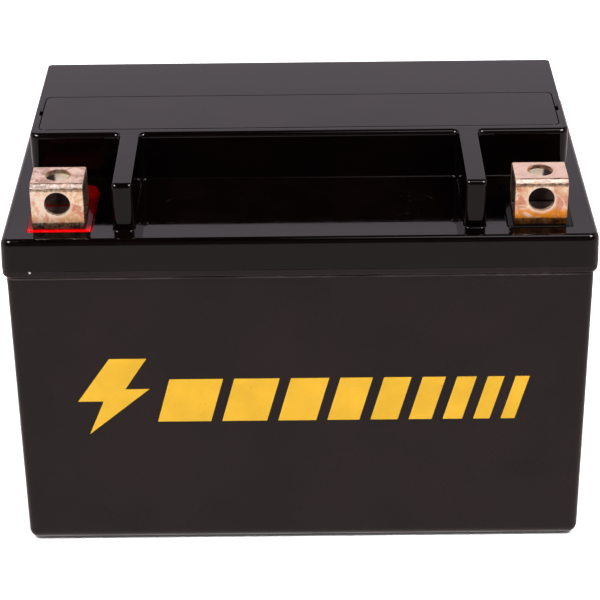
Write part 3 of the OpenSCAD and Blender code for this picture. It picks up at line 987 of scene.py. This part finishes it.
def make_mark():
    """Generic yellow print on the front: a lightning bolt and a row of slanted bars that get narrower."""
    shell = Shell()
    face_y = CASE_LOW.y + FLANGE_STEP - 0.04
    back_y = face_y + 0.06
    slant = 0.27

    def patch(points):
        """A thin closed plate with the given outline, (x, z) pairs."""
        front = [shell.bm.verts.new(Vector((x, face_y, z)) * MM) for x, z in points]
        back = [shell.bm.verts.new(Vector((x, back_y, z)) * MM) for x, z in points]
        shell.wall(front, back)
        shell.flat(front)
        shell.flat(back)

    z0, z1 = 34.4, 57.3
    x0, width = -60.2, 20.8
    bolt = ((0.52, 1.0), (0.98, 1.0), (0.70, 0.60), (1.0, 0.60), (0.22, 0.0), (0.42, 0.44), (0.10, 0.44))
    patch([(x0 + u * width, z0 + v * (z1 - z0)) for u, v in bolt])

    low, high = 38.1, 51.0
    x, bar, gap = -37.6, 13.9, 2.9
    while bar > 3.4:
        lean = slant * (high - low)
        patch([(x, low), (x + bar, low), (x + bar + lean, high), (x + lean, high)])
        x += bar + gap
        bar *= 0.845
    piece = shell.to_object("printed_mark", 30)
    return place(piece, "battery", INK, "case_plastic")


# ---------------------------------------------------------------- inner parts


def paint_inner_nodes():
    """Materials of the sealed inner CAD nodes."""
    by_start = {
        "positive_plates": POSITIVE_PASTE, "negative_plates": NEGATIVE_PASTE, "separators": GLASS_MAT,
        "positive_strap": LEAD, "negative_strap": LEAD, "intercell_weld": LEAD, "positive_post": LEAD,
        "negative_post": LEAD,
    }
    for name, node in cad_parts.items():
        for start, material in by_start.items():
            if name.startswith(start):
                node.data.materials.clear()
                node.data.materials.append(material)


# ---------------------------------------------------------------- stage, lights and camera


def make_stage():
    """A plain pale floor that runs to the horizon."""
    mesh = bpy.data.meshes.new("floor")
    far = 6.0
    mesh.from_pydata([(-far, -far, 0), (far, -far, 0), (far, far, 0), (-far, far, 0)], [], [(0, 1, 2, 3)])
    floor = bpy.data.objects.new("floor", mesh)
    floor.location.z = -0.0002
    bpy.context.scene.collection.objects.link(floor)
    p = Paint("floor_paper", Roughness=0.9, Specular_IOR_Level=0.1)
    p.colour(p.mix(p.ramp(p.noise(3, 2), 0.3, 0.7), (0.86, 0.86, 0.86), (0.88, 0.88, 0.88)))
    floor.data.materials.append(p.material)
    floor.visible_glossy = False


def softbox(name, place_at, aim, size, power):
    """A rectangular area light at a place in metres, aimed at a point."""
    light = bpy.data.lights.new(name, "AREA")
    light.shape = "RECTANGLE"
    light.size, light.size_y = size
    light.energy = power
    lamp = bpy.data.objects.new(name, light)
    lamp.location = place_at
    lamp.rotation_euler = (Vector(aim) - Vector(place_at)).to_track_quat("-Z", "Y").to_euler()
    bpy.context.scene.collection.objects.link(lamp)
    return lamp


def make_world():
    """Soft surroundings: bright low down and to the rear, dark overhead and in front above the horizon."""
    world = bpy.data.worlds.new("studio")
    bpy.context.scene.world = world
    world.use_nodes = True
    nodes, links = world.node_tree.nodes, world.node_tree.links
    split = nodes.new("ShaderNodeSeparateXYZ")
    links.new(nodes.new("ShaderNodeTexCoord").outputs["Generated"], split.inputs["Vector"])
    bands = nodes.new("ShaderNodeValToRGB").color_ramp
    height = nodes.new("ShaderNodeMapRange")
    height.inputs["From Min"].default_value = -1.0
    links.new(split.outputs["Z"], height.inputs["Value"])
    links.new(height.outputs["Result"], nodes["Color Ramp"].inputs["Fac"])
    while len(bands.elements) < len(SKY_BANDS):
        bands.elements.new(0.5)
    for element, (place_at, shade) in zip(bands.elements, SKY_BANDS):
        element.position = place_at
        element.color = (*shade, 1.0)
    front = nodes.new("ShaderNodeMapRange")
    front.interpolation_type = "SMOOTHSTEP"
    for key, value in (("From Min", -0.45), ("From Max", 0.1), ("To Min", 0.85), ("To Max", 0.0)):
        front.inputs[key].default_value = value
    links.new(split.outputs["Y"], front.inputs["Value"])
    above = nodes.new("ShaderNodeMapRange")
    above.inputs["From Min"].default_value = -0.02
    above.inputs["From Max"].default_value = 0.05
    links.new(split.outputs["Z"], above.inputs["Value"])
    shade = nodes.new("ShaderNodeMath")
    shade.operation = "MULTIPLY"
    links.new(front.outputs["Result"], shade.inputs[0])
    links.new(above.outputs["Result"], shade.inputs[1])
    strength = nodes.new("ShaderNodeMath")
    strength.operation = "SUBTRACT"
    strength.inputs[0].default_value = 1.0
    links.new(shade.outputs["Value"], strength.inputs[1])
    links.new(nodes["Color Ramp"].outputs["Color"], nodes["Background"].inputs["Color"])
    links.new(strength.outputs["Value"], nodes["Background"].inputs["Strength"])


def make_lights():
    """A wide softbox that only lights dull surfaces, a panel, and two lamps that glint in glossy edges."""
    centre = (0, 0, 0.06)
    overhead = softbox("overhead_softbox", (0.0, -0.4, 1.6), (0, 0, 0), (3.4, 3.4), 22)
    overhead.visible_glossy = False
    softbox("panel_softbox", (0.19, -0.25, 1.1), centre, (0.30, 0.34), 1.3)
    for k, place_at in enumerate(LAMPS):
        softbox(f"lamp_{k + 1}", place_at, centre, (0.45, 0.45), 21)
    bpy.context.scene.view_settings.view_transform = "Standard"


def make_camera():
    """The photograph's view: from above the front, with a slight turn and roll."""
    data = bpy.data.cameras.new("camera")
    data.lens, data.sensor_width = 121.36, 36.0
    data.clip_start, data.clip_end = 0.01, 20
    camera = bpy.data.objects.new("camera", data)
    camera.location = Vector((1.86, -487.57, 326.17)) * MM
    pitch, turn, roll = 29.515, 0.25, -0.704
    aim = Euler((math.radians(90 - pitch), 0, math.radians(turn)), "XYZ").to_matrix()
    camera.rotation_euler = (aim @ Matrix.Rotation(math.radians(roll), 3, "Z")).to_euler()
    bpy.context.scene.collection.objects.link(camera)
    bpy.context.scene.camera = camera


make_case()
make_lid()
make_cover()
for number in CELLS:
    make_valve(number)
make_terminal("positive", -1, 3)
make_terminal("negative", 1, 8)
make_seal("positive", -1, RED_RESIN, "red_resin")
make_seal("negative", 1, BLACK_RESIN, "black_resin")
make_mark()
paint_inner_nodes()
make_stage()
make_world()
make_lights()
make_camera()
